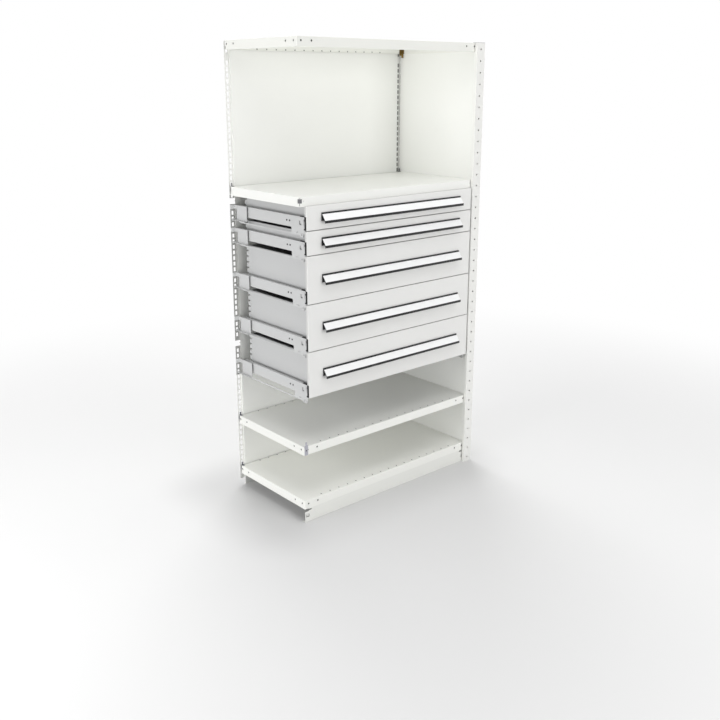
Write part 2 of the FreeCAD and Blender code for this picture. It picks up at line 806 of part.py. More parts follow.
def corner_angle():
    """Angle in the right rear corner under the top shelf, with a narrow lower end."""
    right = bay_length - shelf_sheet
    rear = shelf_depth - shelf_lip
    high = cabinet_height - corner_angle_high
    low = cabinet_height - corner_angle_low
    front = rear - clip_sheet
    plate = block(right - corner_angle_width, right, front, rear, low, high)
    cleared = block(right - corner_angle_width - cut_margin,
                    right - corner_angle_width + corner_angle_notch, front - cut_margin,
                    rear + cut_margin, low - cut_margin, cabinet_height - corner_angle_step)
    side = block(right - clip_sheet, right, rear - corner_angle_length, rear,
                 cabinet_height - corner_angle_foot, high)
    return joined([plate, side]).cut(cleared)


def post_clip(top):
    """Right front clip: plate on the shelf flange with a spacer to the post face."""
    left = post_left + post_sheet + post_clip_inset
    plate = block(left, bay_length, -clip_sheet, 0, top - shelf_thickness, top)
    spacer_left = left + post_clip_inset
    high = top - post_clip_spacer_drop
    spacer = block(spacer_left, spacer_left + post_clip_spacer_width, post_front + post_sheet,
                   -clip_sheet, high - post_clip_spacer_height, high)
    return joined([plate, spacer])


def front_clip(top):
    """Left front clip of the lower shelf, which stands up past the surface."""
    left = front_clip_inset
    plate = block(left, left + front_clip_width, -clip_sheet, 0, top - shelf_thickness,
                  top + front_clip_rise)
    tongue_left = left + (front_clip_width - front_clip_tongue_width) / 2.0
    tongue = block(tongue_left, tongue_left + front_clip_tongue_width, -clip_sheet, 0,
                   top, top + front_clip_tongue_rise)
    return joined([plate, tongue])


def corner_clip(top):
    """Clip inside a front corner of the work shelf, seen through the corner window."""
    inside = shelf_sheet
    size = corner_clip_size
    high = top - corner_window_top_drop
    low = high - corner_clip_height
    front = block(inside, size, inside, inside + clip_sheet, low, high)
    side = block(inside, inside + clip_sheet, inside, size, low, high)
    return joined([front, side])


def top_back_sheet():
    """Upper sheet of the back, whose strips carry a plate over the slot under the top shelf."""
    sheet = back_sheet_between(back_upper_joint, back_top, back_upper_joint + strip_notch, back_top)
    level = cabinet_height - lug_drop
    low = level - lug_height / 2.0
    plate = block(-back_overhang, lug_width - back_overhang, strip_face - lug_sheet, strip_face,
                  low, low + lug_height)
    tab_low = level - lug_tab_height / 2.0
    tab = block(-back_overhang - lug_tab_reach, clip_inset, strip_face - lug_sheet, strip_face,
                tab_low, tab_low + lug_tab_height)
    return joined([sheet, plate, tab, mirrored(plate)])


def shelf_clips():
    """Clips of each shelf as groups of separate solids."""
    groups = {}
    for name, top in (("bottom_shelf", bottom_shelf_top), ("lower_shelf", lower_shelf_top),
                      ("work_shelf", work_shelf_top)):
        rear = rear_clip(top)
        groups[name] = [rear, mirrored(rear), post_clip(top)]
    rear = top_rear_clip()
    groups["top_shelf"] = [rear, mirrored(rear), corner_angle(), post_clip(cabinet_height)]
    groups["lower_shelf"].append(front_clip(lower_shelf_top))
    corner = corner_clip(work_shelf_top)
    groups["work_shelf"] += [corner, mirrored(corner)]
    return {name + "_clips": Part.makeCompound(solids) for name, solids in groups.items()}


def all_nodes():
    """Every piece of the cabinet under its name."""
    nodes = {
        "front_post": front_post(),
        "rear_post": rear_post(),
        "front_post_cap": post_cap(),
        "rear_post_cap": to_rear(post_cap()),
        "side_panel": side_panel(),
        "back_panel_lower": back_sheet_between(0, back_lower_joint, strip_foot_gap,
                                               back_lower_joint - strip_notch),
        "back_panel_middle": back_sheet_between(back_lower_joint, back_upper_joint,
                                                back_lower_joint + strip_notch,
                                                back_upper_joint - strip_notch),
        "back_panel_upper": top_back_sheet(),
        "top_shelf": perforated_shelf(cabinet_height),
        "work_shelf": work_shelf(),
        "lower_shelf": perforated_shelf(lower_shelf_top),
        "bottom_shelf": perforated_shelf(bottom_shelf_top),
        "kick_plate": kick_plate(),
    }
    nodes.update(shelf_clips())
    for number, (bottom, top) in enumerate(drawer_levels(), start=1):
        drawer = drawers[number - 1]
        handle_top = top - front_gap / 2.0 - drawer["handle_drop"]
        member = middle_member(bottom)
        nodes["slide_rail_left_%d" % number] = fixed_rail(bottom, False)
        nodes["slide_rail_right_%d" % number] = fixed_rail(bottom, True)
        nodes["slide_member_left_%d" % number] = member
        nodes["slide_member_right_%d" % number] = mirrored(member)
        nodes["drawer_box_%d" % number] = drawer_box(bottom, top, drawer["headroom"])
        nodes["drawer_front_%d" % number] = drawer_front(bottom, top)
        nodes["drawer_handle_%d" % number] = handle(handle_top)
        nodes["label_strip_%d" % number] = label_strip(handle_top)
    return nodes


nodes = all_nodes()
overall = Part.makeCompound(list(nodes.values())).BoundBox
origin = Vector(overall.Center.x, overall.Center.y, overall.ZMin)
for name, shape in nodes.items():
    shape.translate(-origin)
    shape.exportStep("parts/%s.step" % name)
print("%d nodes, overall %.1f x %.1f x %.1f mm, origin at x %.1f y %.1f of the bay"
      % (len(nodes), overall.XLength, overall.YLength, overall.ZLength, origin.x, origin.y))
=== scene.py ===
import math
import bpy
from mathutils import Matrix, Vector


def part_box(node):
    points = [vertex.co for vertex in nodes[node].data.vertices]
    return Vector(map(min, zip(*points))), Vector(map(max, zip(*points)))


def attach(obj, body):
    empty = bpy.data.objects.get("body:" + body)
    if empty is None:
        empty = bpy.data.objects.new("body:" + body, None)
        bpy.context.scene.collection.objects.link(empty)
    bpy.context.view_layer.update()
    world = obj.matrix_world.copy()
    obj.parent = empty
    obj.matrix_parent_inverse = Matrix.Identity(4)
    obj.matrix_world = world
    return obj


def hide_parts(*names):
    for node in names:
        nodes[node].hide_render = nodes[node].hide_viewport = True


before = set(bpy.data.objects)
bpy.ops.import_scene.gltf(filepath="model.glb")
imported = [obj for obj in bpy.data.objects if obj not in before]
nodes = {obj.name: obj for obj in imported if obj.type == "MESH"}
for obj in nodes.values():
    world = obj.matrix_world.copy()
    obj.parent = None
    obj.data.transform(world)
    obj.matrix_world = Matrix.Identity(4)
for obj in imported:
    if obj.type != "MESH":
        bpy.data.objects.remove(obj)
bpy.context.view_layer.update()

drawerNumbers = range(1, 6)


def deselectAll():
    if bpy.context.object and bpy.context.object.mode != "OBJECT":
        bpy.ops.object.mode_set(mode="OBJECT")
    bpy.ops.object.select_all(action="DESELECT")


def settle(name):
    # place and size go into the mesh, so the object itself sits at the origin
    piece = bpy.context.object
    bpy.ops.object.transform_apply(location=True, rotation=True, scale=True)
    piece.name = piece.data.name = name
    return piece


class Signal:
    # one shader socket that takes part in ordinary maths
    def __init__(self, net, socket):
        self.net = net
        self.socket = socket

    def maths(self, operation, first, second=None):
        inputs = {0: first} if second is None else {0: first, 1: second}
        return self.net.node("ShaderNodeMath", {"operation": operation}, inputs)

    def __add__(self, other): return self.maths("ADD", self, other)
    def __radd__(self, other): return self.maths("ADD", other, self)
    def __sub__(self, other): return self.maths("SUBTRACT", self, other)
    def __rsub__(self, other): return self.maths("SUBTRACT", other, self)
    def __mul__(self, other): return self.maths("MULTIPLY", self, other)
    def __rmul__(self, other): return self.maths("MULTIPLY", other, self)
    def __pow__(self, other): return self.maths("POWER", self, other)
    def __abs__(self): return self.maths("ABSOLUTE", self)

    def above(self, limit): return self.maths("GREATER_THAN", self, limit)
    def below(self, limit): return self.maths("LESS_THAN", self, limit)
    def most(self, other): return self.maths("MAXIMUM", self, other)

    def ramp(self, low, high, outLow=0.0, outHigh=1.0):
        settings = {"interpolation_type": "SMOOTHSTEP", "clamp": True}
        inputs = {"Value": self, "From Min": low, "From Max": high, "To Min": outLow, "To Max": outHigh}
        return self.net.node("ShaderNodeMapRange", settings, inputs)


class Net:
    def __init__(self, tree):
        self.tree = tree
        tree.nodes.clear()

    def node(self, kind, settings, inputs, out=0):
        made = self.tree.nodes.new(kind)
        for key, value in settings.items():
            setattr(made, key, value)
        for key, value in inputs.items():
            if isinstance(value, Signal):
                self.tree.links.new(value.socket, made.inputs[key])
            else:
                made.inputs[key].default_value = value
        return Signal(self, made.outputs[out]) if made.outputs else None

    def place(self):
        return self.node("ShaderNodeTexCoord", {}, {}, "Object")

    def parts(self, vector):
        split = self.node("ShaderNodeSeparateXYZ", {}, {0: vector})
        outs = split.socket.node.outputs
        return Signal(self, outs[0]), Signal(self, outs[1]), Signal(self, outs[2])

    def stretched(self, vector, scale):
        return self.node("ShaderNodeMapping", {}, {"Vector": vector, "Scale": scale})

    def noise(self, vector, scale, detail=2.0, rough=0.5):
        inputs = {"Vector": vector, "Scale": scale, "Detail": detail, "Roughness": rough}
        return self.node("ShaderNodeTexNoise", {}, inputs)

    def cells(self, vector, scale):
        return self.node("ShaderNodeTexVoronoi", {}, {"Vector": vector, "Scale": scale})

    def blend(self, factor, first, second):
        inputs = {0: factor, 6: first, 7: second}
        return self.node("ShaderNodeMix", {"data_type": "RGBA"}, inputs, 2)

    def tone(self, colour, amount):
        # darker or lighter by a factor that may vary over the surface
        return self.node("ShaderNodeVectorMath", {"operation": "SCALE"}, {0: colour, "Scale": amount})

    def bump(self, height, distance, strength):
        inputs = {"Height": height, "Distance": distance, "Strength": strength}
        return self.node("ShaderNodeBump", {}, inputs)

    def finish(self, inputs):
        shader = self.node("ShaderNodeBsdfPrincipled", {}, inputs)
        self.node("ShaderNodeOutputMaterial", {}, {0: shader})


def newMaterial(name):
    material = bpy.data.materials.new(name)
    material.use_nodes = True
    return material, Net(material.node_tree)


def rgb(red, green, blue):
    return (red, green, blue, 1.0)


coatGrain = {"drift": 3.2, "peel": 950.0, "swell": 240.0, "dust": 2100.0, "dustFrom": 0.68,
             "dustFull": 0.78, "haze": 9.0, "hazeStretch": (1.0, 1.0, 0.35), "peelStrength": 0.55}


def powderCoat(name, look):
    # orange peel, a slow drift of tone, and specks of dust
    material, net = newMaterial(name)
    grain = coatGrain
    place = net.place()
    drift = net.noise(place, grain["drift"], 3.0, 0.55)
    peel = net.noise(place, grain["peel"], 2.0, 0.5)
    swell = net.noise(place, grain["swell"], 1.0, 0.4)
    dust = net.noise(place, grain["dust"], 0.0).ramp(grain["dustFrom"], grain["dustFull"])
    haze = net.noise(net.stretched(place, grain["hazeStretch"]), grain["haze"], 4.0, 0.6)
    amount = 1.0 - look["drift"] * (drift - 0.5) - look["dust"] * dust
    across, along, up = net.parts(place)
    for spot in look["spots"]:
        amount = amount * spot(across, along, up)
    colour = net.tone(look["colour"][:3], amount)
    rough = look["rough"] + 0.10 * (haze - 0.5) + 0.05 * (peel - 0.5)
    normal = net.bump(0.7 * peel + 0.3 * swell, look["peel"], grain["peelStrength"])
    net.finish({"Base Color": colour, "Roughness": rough, "Normal": normal,
                "IOR": 1.5, "Specular IOR Level": look["gloss"]})
    return material


zincGrain = {"spangle": 95.0, "cloud": 26.0, "cloudFrom": 0.35, "cloudFull": 0.68, "scratch": 0.00002,
             "metal": 0.9, "dimpleShade": 0.85, "dimpleFront": -0.2}


def zincPlate(name, look):
    # brushed zinc with clouds of a second tint
    material, net = newMaterial(name)
    grain = zincGrain
    place = net.place()
    brushed = net.noise(net.stretched(place, look["brush"]), 1.0, 4.0, 0.65)
    patch = net.cells(place, grain["spangle"])
    cloud = net.noise(place, grain["cloud"], 3.0, 0.6)
    mask = cloud.ramp(grain["cloudFrom"], grain["cloudFull"])
    tint = net.blend(mask, look["colour"], look["tint"])
    across, along, up = net.parts(place)
    if "paler" in look:
        # one clip of the group has another finish
        side, limit, finish = look["paler"]
        apart = across if side == "left" else along
        tint = net.blend(apart.below(limit), tint, finish)
    if "dot" in look:
        # painted shade of a pressed dimple: a dark dot in the middle of the front clip
        dotX, dotZ, size = look["dot"]
        away = ((across - dotX) ** 2 + (up - dotZ) ** 2) ** 0.5
        pressed = away.below(size) * along.below(grain["dimpleFront"])
        tint = net.tone(tint, 1.0 - grain["dimpleShade"] * pressed)
    colour = net.tone(tint, 0.94 + 0.10 * brushed - 0.05 * patch)
    rough = look["rough"] + 0.14 * (brushed - 0.5) + 0.08 * (cloud - 0.5)
    normal = net.bump(brushed, grain["scratch"], 0.4)
    net.finish({"Base Color": colour, "Roughness": rough, "Metallic": grain["metal"], "Normal": normal})
    return material


plasticFlow = {"stretch": (2.0, 60.0, 60.0), "scale": 3.0, "darkest": 0.92, "range": 0.16}


def mouldedPlastic(name, look):
    # fine grain, with faint streaks along the piece where the plastic ran
    material, net = newMaterial(name)
    place = net.place()
    grain = net.cells(place, look["grain"])
    flow = net.noise(net.stretched(place, plasticFlow["stretch"]), plasticFlow["scale"], 3.0, 0.55)
    colour = net.tone(look["colour"][:3], plasticFlow["darkest"] + plasticFlow["range"] * flow)
    rough = look["rough"] + 0.12 * (grain - 0.4) + 0.08 * (flow - 0.5)
    normal = net.bump(grain, look["depth"], 0.5)
    net.finish({"Base Color": colour, "Roughness": rough, "Normal": normal, "IOR": 1.48})
    return material


def labelStrip(name, look):
    # paper fibres under a clear cover
    material, net = newMaterial(name)
    place = net.place()
    fibre = net.noise(net.stretched(place, look["fibres"]), 1.0, 3.0, 0.6)
    cloud = net.noise(place, look["cloud"], 2.0, 0.5)
    colour = net.tone(look["colour"][:3], 0.985 + 0.02 * fibre - 0.02 * cloud)
    rough = look["rough"] + 0.08 * cloud
    normal = net.bump(fibre, look["relief"], 0.3)
    net.finish({"Base Color": colour, "Roughness": rough, "Normal": normal,
                "Coat Weight": look["cover"], "Coat Roughness": 0.08, "Coat IOR": 1.46})
    return material


# the shelf outline that the paints below are measured from
bay = {"middleX": -0.015, "middleY": 0.010, "halfLength": 0.5, "halfDepth": 0.244}
bay["left"] = bay["middleX"] - bay["halfLength"]
bay["front"] = bay["middleY"] - bay["halfDepth"]

trayLook = {"sheet": 0.0007, "edge": 0.0092, "frontEdge": 0.0212, "roof": 0.0008, "foot": 0.0371,
            "skin": 0.0002, "innerShade": 0.85}


def trayShading(top, frontShading, leftShading, leftInnerShade=trayLook["innerShade"]):
    # painted light and shade: a shelf's front and left faces are made lighter or darker than its top, and
    # the inside of its folded edges is painted dark as shade
    look = trayLook

    def spot(across, along, up):
        reach = abs(across - bay["middleX"])
        depth = abs(along - bay["middleY"])
        inner = reach.below(bay["halfLength"] - look["sheet"])
        inner = inner * depth.below(bay["halfDepth"] - look["sheet"])
        outer = reach.above(bay["halfLength"] - look["edge"])
        outer = outer.most(depth.above(bay["halfDepth"] - look["edge"]))
        outer = outer.most(along.below(bay["front"] + look["frontEdge"]))
        level = up.below(top - look["roof"]) * up.above(top - look["foot"])
        front = along.below(bay["front"] + look["skin"])
        left = across.below(bay["left"] + look["skin"])
        # painted shade inside the folded edges, with its own amount at the left end
        innerShade = look["innerShade"] - (look["innerShade"] - leftInnerShade) * across.below(bay["left"] + look["edge"])
        # painted shade inside the edges, and painted light or shade on the front and left faces
        return 1.0 - innerShade * inner * outer * level - (1.0 - frontShading) * front - (1.0 - leftShading) * left
    return spot


stripLook = {"width": 0.0236, "stackLow": 0.545, "stackTop": 1.362, "upper": 0.08, "stack": 0.40}


def edgeStrips(across, along, up):
    # the slotted strips of the back lie in the shade, most of all beside the drawers
    look = stripLook
    strip = abs(across - bay["middleX"]).above(bay["halfLength"] - look["width"])
    raised = up.above(look["stackLow"])
    shade = look["upper"] * raised + look["stack"] * raised * up.below(look["stackTop"])
    return 1.0 - shade * strip


postLook = {"face": -0.2497, "faceShade": 0.13, "slotFront": 0.2675, "slotBack": 0.2688, "slotShade": 0.75}


def postShading(across, along, up):
    # painted shade: the face of the front post is made darker, and what shows through the slots in front of
    # the rear post is painted dark
    look = postLook
    behind = along.above(look["slotFront"]) * along.below(look["slotBack"])
    return 1.0 - look["faceShade"] * along.below(look["face"]) - look["slotShade"] * behind


panLook = {"from": -0.2452, "full": -0.2438, "shade": 0.28}


def backOfFront(across, along, up):
    # the returns of a drawer front are made darker than its face
    return 1.0 - panLook["shade"] * along.ramp(panLook["from"], panLook["full"])


def railEnds(across, along, up):
    # hook plates and arms at the back of a rail catch more light
    hookFrom, gain = 0.2624, 0.5
    return 1.0 + gain * along.above(hookFrom)


def kickChannelShade(across, along, up):
    # painted shade in the channel behind the kick plate's face, but not on its foot
    faceBack, footTop, shade = -0.2333, 0.0014, 0.75
    return 1.0 - shade * along.above(faceBack) * up.above(footTop)


def coat(red, green, blue, rough=0.46, gloss=0.42, drift=0.03, dust=0.02, peel=0.00005, spots=()):
    return {"colour": rgb(red, green, blue), "rough": rough, "gloss": gloss, "drift": drift,
            "dust": dust, "peel": peel, "spots": spots}


paintLooks = {
    "postPaint": coat(0.95, 0.95, 0.92, spots=[postShading]),
    # painted light: the side panel's white is made lighter than the other frame parts
    "sidePaint": coat(0.975, 0.98, 0.95),
    "backPaint": coat(0.92, 0.925, 0.895, spots=[edgeStrips]),
    "topPaint": coat(0.92, 0.925, 0.88, spots=[trayShading(2.000, 0.90, 0.90, leftInnerShade=0.45)]),
    # the work shelf has open flanges, so the painted shade inside its edges is looked for far above it
    "workPaint": coat(0.93, 0.935, 0.905, rough=0.42, spots=[trayShading(9.0, 0.94, 0.90)]),
    # painted shade: the lower shelf's white is made darker than the other shelves', for the shade under the
    # drawers
    "lowerPaint": coat(0.855, 0.86, 0.825, spots=[trayShading(0.350, 1.04, 0.96)]),
    "bottomPaint": coat(0.94, 0.945, 0.905, spots=[trayShading(0.100, 0.95, 0.98)]),
    "kickPaint": coat(0.83, 0.835, 0.80, spots=[kickChannelShade]),
    "drawerPaint": coat(0.80, 0.80, 0.785, rough=0.44, drift=0.02, peel=0.00004, spots=[backOfFront]),
    "boxPaint": coat(0.505, 0.51, 0.51, gloss=0.40, peel=0.00004),
    "railPaint": coat(0.53, 0.535, 0.535, rough=0.40, gloss=0.50, dust=0.03, peel=0.00003,
                      spots=[railEnds]),
}
zincLooks = {
    "blueZinc": {"colour": rgb(0.12, 0.12, 0.17), "tint": rgb(0.19, 0.19, 0.23), "rough": 0.40,
                 "brush": (60.0, 900.0, 60.0)},
    "frontZinc": {"colour": rgb(0.12, 0.12, 0.17), "tint": rgb(0.19, 0.19, 0.23), "rough": 0.40,
                  "brush": (60.0, 900.0, 60.0), "paler": ("front", -0.2, rgb(0.55, 0.55, 0.61)),
                  "dot": (-0.5037, 0.333, 0.0032)},
    "darkZinc": {"colour": rgb(0.20, 0.20, 0.21), "tint": rgb(0.27, 0.27, 0.28), "rough": 0.42,
                 "brush": (60.0, 900.0, 60.0)},
    "yellowZinc": {"colour": rgb(0.40, 0.27, 0.08), "tint": rgb(0.30, 0.21, 0.08), "rough": 0.40,
                   "brush": (60.0, 900.0, 60.0), "paler": ("left", -0.3, rgb(0.80, 0.80, 0.78))},
    "slideZinc": {"colour": rgb(0.30, 0.30, 0.31), "tint": rgb(0.38, 0.38, 0.39), "rough": 0.38,
                  "brush": (900.0, 30.0, 900.0)},
}
plasticLooks = {
    "handlePlastic": {"colour": rgb(0.010, 0.010, 0.011), "rough": 0.48, "grain": 2600.0, "depth": 0.00003},
    "capPlastic": {"colour": rgb(0.50, 0.505, 0.50), "rough": 0.5, "grain": 2200.0, "depth": 0.00003},
}

labelLooks = {
    "labelPaper": {"colour": rgb(0.97, 0.975, 0.975), "cover": 0.3, "fibres": (300.0, 1200.0, 1200.0),
                   "cloud": 14.0, "rough": 0.34, "relief": 0.00001},
}

finishes = {}
for name, look in paintLooks.items():
    finishes[name] = powderCoat(name, look)
for name, look in zincLooks.items():
    finishes[name] = zincPlate(name, look)
for name, look in plasticLooks.items():
    finishes[name] = mouldedPlastic(name, look)
for name, look in labelLooks.items():
    finishes[name] = labelStrip(name, look)
print("materials made:", len(finishes))


def dress(piece, finish):
    piece.data.materials.clear()
    piece.data.materials.append(finishes[finish])


finishOfNode = {
    "top_shelf": "topPaint", "work_shelf": "workPaint", "lower_shelf": "lowerPaint",
    "bottom_shelf": "bottomPaint", "side_panel": "sidePaint", "kick_plate": "kickPaint",
    "front_post": "postPaint", "rear_post": "postPaint", "front_post_cap": "capPlastic",
    "rear_post_cap": "capPlastic", "top_shelf_clips": "yellowZinc", "work_shelf_clips": "darkZinc",
    "lower_shelf_clips": "frontZinc", "bottom_shelf_clips": "blueZinc",
}
finishOfFamily = {
    "back_panel": "backPaint", "slide_rail": "railPaint", "slide_member": "slideZinc",
    "drawer_box": "boxPaint", "drawer_front": "drawerPaint", "drawer_handle": "handlePlastic",
    "label_strip": "labelPaper",
}
for name, node in nodes.items():
    family = [finish for start, finish in finishOfFamily.items() if name.startswith(start)]
    dress(node, finishOfNode[name] if name in finishOfNode else family[0])
print("nodes dressed:", len(nodes))


def edit():
    bpy.ops.object.mode_set(mode="EDIT")


hair = 0.0001  # tolerance where faces and edges are chosen by their place


def pick(kind, test):
    # choose faces of the active piece by their middle and normal, or edges by their middle and run
    piece = bpy.context.object
    mesh = piece.data
    edit()
    bpy.ops.mesh.select_mode(type=kind)
    bpy.ops.mesh.select_all(action="DESELECT")
    bpy.ops.object.mode_set(mode="OBJECT")
    place = piece.matrix_world
    if kind == "FACE":
        for face in mesh.polygons:
            face.select = test(place @ face.center, face.normal)
    else:
        for edge in mesh.edges:
            first, second = [place @ mesh.vertices[i].co for i in edge.vertices]
            edge.select = test((first + second) / 2, (second - first).normalized())
    edit()


def slab(low, high):
    # a primitive block between two corners, left active in edit mode
    deselectAll()
    middle = [(a + b) / 2 for a, b in zip(low, high)]
    bpy.ops.mesh.primitive_cube_add(size=1.0, location=middle)
    bpy.context.object.scale = [b - a for a, b in zip(low, high)]
    bpy.ops.object.transform_apply(location=True, rotation=True, scale=True)
    edit()


def applied(kind, settings):
    piece = bpy.context.object
    modifier = piece.modifiers.new(kind.title(), kind)
    for key, value in settings.items():
        setattr(modifier, key, value)
    bpy.ops.object.modifier_apply(modifier=modifier.name)


def rounded(width, segments=2):
    bpy.ops.object.mode_set(mode="OBJECT")
    applied("BEVEL", {"width": width, "segments": segments, "limit_method": "ANGLE",
                      "angle_limit": math.radians(38), "harden_normals": False})
    bpy.ops.object.shade_smooth_by_angle(angle=math.radians(32))


def finished(name, finish, body):
    piece = settle(name)
    dress(piece, finish)
    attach(piece, body)
    return piece


def copyOf(piece, name, shift, finish, body, turned=False):
    deselectAll()
    twin = piece.copy()
    twin.data = piece.data.copy()
    bpy.context.scene.collection.objects.link(twin)
    twin.parent = None
    twin.select_set(True)
    bpy.context.view_layer.objects.active = twin
    bpy.ops.transform.translate(value=shift)
    if turned:
        edit()
        bpy.ops.mesh.select_all(action="SELECT")
        bpy.ops.transform.resize(value=(-1, 1, 1), center_override=(bay["middleX"], 0, 0))
        bpy.ops.mesh.normals_make_consistent(inside=False)
        bpy.ops.object.mode_set(mode="OBJECT")
    return finished(name, finish, body)


handleLook = {"wall": 0.0024, "edge": 0.0005, "legReach": 0.0012, "legDrop": 0.034,
              "topDrop": 0.0012, "path": [(0.0038, 0.0012), (0.0035, 0.0056), (0.0237, 0.0331),
                                          (0.0237, 0.0415)],
              "ledge": (0.0236, 0.025, 0.0312, 0.0338)}


def handlePull(box):
    # the profile is drawn by extruding one edge again and again, then it gets its wall
    look = handleLook
    low, high = box
    top = high[2]
    front = high[1]
    length = high[0] - low[0]
    middle = (high[0] + low[0]) / 2
    tall = look["legDrop"] - look["topDrop"]
    deselectAll()
    bpy.ops.mesh.primitive_plane_add(
        size=1.0, location=(middle, front - look["legReach"], top - look["topDrop"] - tall / 2),
        rotation=(math.radians(90), 0, 0))
    bpy.context.object.scale = (length, tall, 1.0)
    bpy.ops.object.transform_apply(location=True, rotation=True, scale=True)
    reach, drop = look["legReach"], look["topDrop"]
    pick("EDGE", lambda at, along: at.z > top - drop - hair)
    for nextReach, nextDrop in look["path"]:
        step = (0, reach - nextReach, drop - nextDrop)
        bpy.ops.mesh.extrude_region_move(TRANSFORM_OT_translate={"value": step})
        reach, drop = nextReach, nextDrop
    bpy.ops.mesh.select_all(action="SELECT")
    bpy.ops.mesh.normals_make_consistent(inside=False)
    bpy.ops.object.mode_set(mode="OBJECT")
    applied("SOLIDIFY", {"thickness": look["wall"], "offset": 0.0, "use_even_offset": True})
    pull = bpy.context.object
    outer, inner, low, high = look["ledge"]
    slab((middle - length / 2, front - inner, top - high), (middle + length / 2, front - outer, top - low))
    bpy.ops.object.mode_set(mode="OBJECT")
    pull.select_set(True)
    bpy.context.view_layer.objects.active = pull
    bpy.ops.object.join()
    rounded(look["edge"])


labelLook = {"edge": 0.0003, "inset": 0.0012, "sunk": 0.0002, "length": 0.8030,
             "tall": 0.0308, "thick": 0.0009, "down": 0.0008, "step": 0.0003}


def labelPlate(box):
    # a card under a clear cover: its rim stands a little higher than its middle
    look = labelLook
    low, high = box
    middle = [(a + b) / 2 for a, b in zip(low, high)]
    run, fall = high[1] - low[1], high[2] - low[2]
    slope = math.atan2(fall, run)
    middle[1] -= look["down"] * math.cos(slope)
    middle[2] -= look["down"] * math.sin(slope)
    size = (look["length"], look["tall"], look["thick"])
    slab([m - s / 2 for m, s in zip(middle, size)], [m + s / 2 for m, s in zip(middle, size)])
    pick("FACE", lambda at, normal: normal.z > 0.9)
    bpy.ops.mesh.inset(thickness=look["inset"])
    bpy.ops.transform.translate(value=(0, 0, -look["sunk"]))
    bpy.ops.mesh.inset(thickness=look["step"])
    rounded(look["edge"])
    edit()
    bpy.ops.mesh.select_all(action="SELECT")
    bpy.ops.transform.rotate(value=-slope, orient_axis="X", center_override=middle)
    bpy.ops.object.mode_set(mode="OBJECT")


blockLook = {"low": (-0.4922, -0.2446, 0.003), "high": (-0.4894, -0.2325, 0.056), "ribs": 9,
             "rearLip": -0.2359, "toe": 0.0042, "depth": 0.0084, "rim": 0.0006, "sunk": 0.0012,
             "edge": 0.0003}


def endBlock(bottom):
    # ribbed plastic block that closes the end of a drawer front beside its slide
    look = blockLook
    low = (look["low"][0], look["low"][1], bottom + look["low"][2])
    high = (look["high"][0], look["high"][1], bottom + look["high"][2])
    slab(low, high)
    for i in range(1, look["ribs"]):
        level = low[2] + (high[2] - low[2]) * i / look["ribs"]
        bpy.ops.mesh.select_all(action="SELECT")
        bpy.ops.mesh.bisect(plane_co=(0, 0, level), plane_no=(0, 0, 1))
    bpy.ops.mesh.select_all(action="SELECT")
    bpy.ops.mesh.bisect(plane_co=(0, look["rearLip"], 0), plane_no=(0, 1, 0))
    pick("FACE", lambda at, normal: normal.x > 0.9 and at.y < look["rearLip"])
    bpy.ops.mesh.extrude_region_move(TRANSFORM_OT_translate={"value": (look["depth"], 0, 0)})
    toe = low[2] + (high[2] - low[2]) / look["ribs"]
    pick("FACE", lambda at, normal: normal.y > 0.9 and at.z < toe and at.y > look["rearLip"])
    bpy.ops.mesh.extrude_region_move(TRANSFORM_OT_translate={"value": (0, look["toe"], 0)})
    pick("FACE", lambda at, normal: normal.x < -0.9 and at.x < look["low"][0] + hair
         and at.y < look["high"][1])
    bpy.ops.mesh.inset(thickness=look["rim"], use_individual=True)
    bpy.ops.mesh.extrude_region_shrink_fatten(TRANSFORM_OT_shrink_fatten={"value": -look["sunk"]})
    rounded(look["edge"], 1)


bufferLook = {"low": (-0.4873, -0.228, 0.048), "high": (-0.479, -0.197, 0.0575), "ribs": 5,
              "rim": 0.0008, "sunk": 0.001, "edge": 0.0004}


def railBuffer(bottom):
    # ribbed buffer on the front end of a fixed rail
    look = bufferLook
    low = (look["low"][0], look["low"][1], bottom + look["low"][2])
    high = (look["high"][0], look["high"][1], bottom + look["high"][2])
    slab(low, high)
    for i in range(1, look["ribs"]):
        place = low[1] + (high[1] - low[1]) * i / look["ribs"]
        bpy.ops.mesh.select_all(action="SELECT")
        bpy.ops.mesh.bisect(plane_co=(0, place, 0), plane_no=(0, 1, 0))
    pick("FACE", lambda at, normal: normal.z > 0.9)
    bpy.ops.mesh.inset(thickness=look["rim"], use_individual=True)
    bpy.ops.mesh.extrude_region_shrink_fatten(TRANSFORM_OT_shrink_fatten={"value": -look["sunk"]})
    rounded(look["edge"], 1)


studLook = {"radius": 0.0036, "from": -0.4901, "to": -0.4867, "crown": 0.0012, "raise": 0.0003,
            "edge": 0.0005, "along": (-0.131, -0.112), "level": 0.0315}


def railStuds(bottom):
    # two round-headed studs through a rail, joined as one piece
    look = studLook
    made = []
    for along in look["along"]:
        deselectAll()
        middle = ((look["from"] + look["to"]) / 2, along, bottom + look["level"])
        bpy.ops.mesh.primitive_cylinder_add(vertices=24, radius=look["radius"],
                                            depth=look["to"] - look["from"], location=middle,
                                            rotation=(0, math.radians(90), 0))
        bpy.ops.object.transform_apply(location=True, rotation=True, scale=True)
        pick("FACE", lambda at, normal: abs(normal.x) > 0.9)
        bpy.ops.mesh.inset(thickness=look["crown"])
        bpy.ops.mesh.extrude_region_shrink_fatten(TRANSFORM_OT_shrink_fatten={"value": look["raise"]})
        rounded(look["edge"])
        made.append(bpy.context.object)
    made[0].select_set(True)
    bpy.ops.object.join()


capLook = {"plate": (0.0015, 0.0007, 0.0018), "seat": 0.003, "plugDrop": 0.011, "plug": (0.0245, 0.0035),
           "plugGap": 0.001, "edge": 0.0007}


